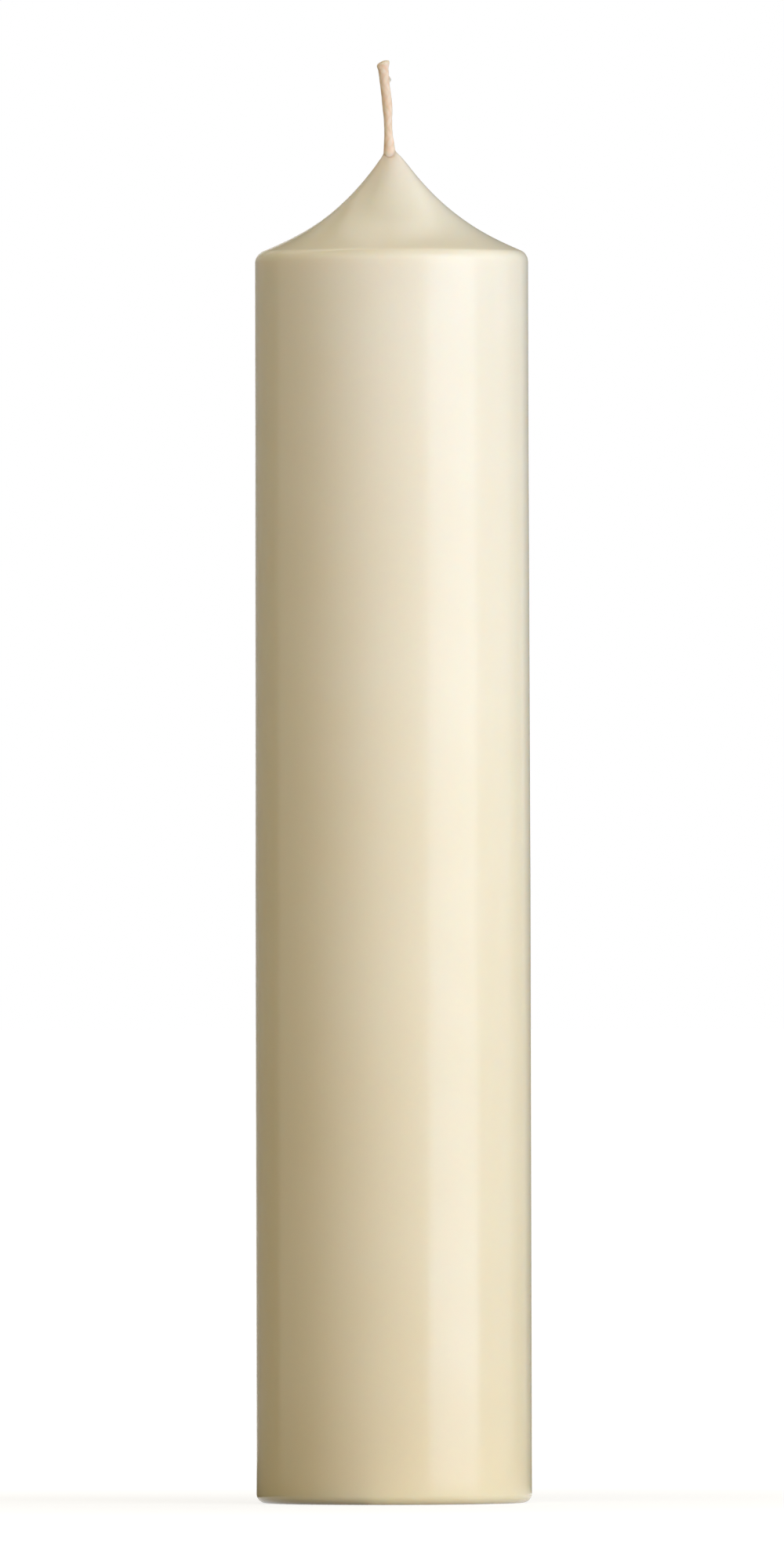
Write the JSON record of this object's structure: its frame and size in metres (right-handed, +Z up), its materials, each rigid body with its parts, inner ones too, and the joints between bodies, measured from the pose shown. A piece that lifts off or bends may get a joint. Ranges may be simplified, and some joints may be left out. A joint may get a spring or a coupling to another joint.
{
  "type": "advent candle",
  "caption": "Straight ivory wax candle with a flat round foot, a rounded shoulder and a concave tip drawn up to a short plaited wick.",
  "frame": {"origin": "centre of the flat base", "axes": "+Z up along the candle's axis, from the base to the wick; -Y towards the viewer of the picture, and +X to that viewer's right, so the free wick leans towards -X"},
  "size_m": [0.05, 0.05, 0.2619],
  "materials": {
    "wax": "satin ivory wax, slightly translucent",
    "wick": "plaited cotton primed with clear wax"
  },
  "bodies": {
    "root": {"candle_body": "wax", "wick": "wick"}
  },
  "joints": []
}
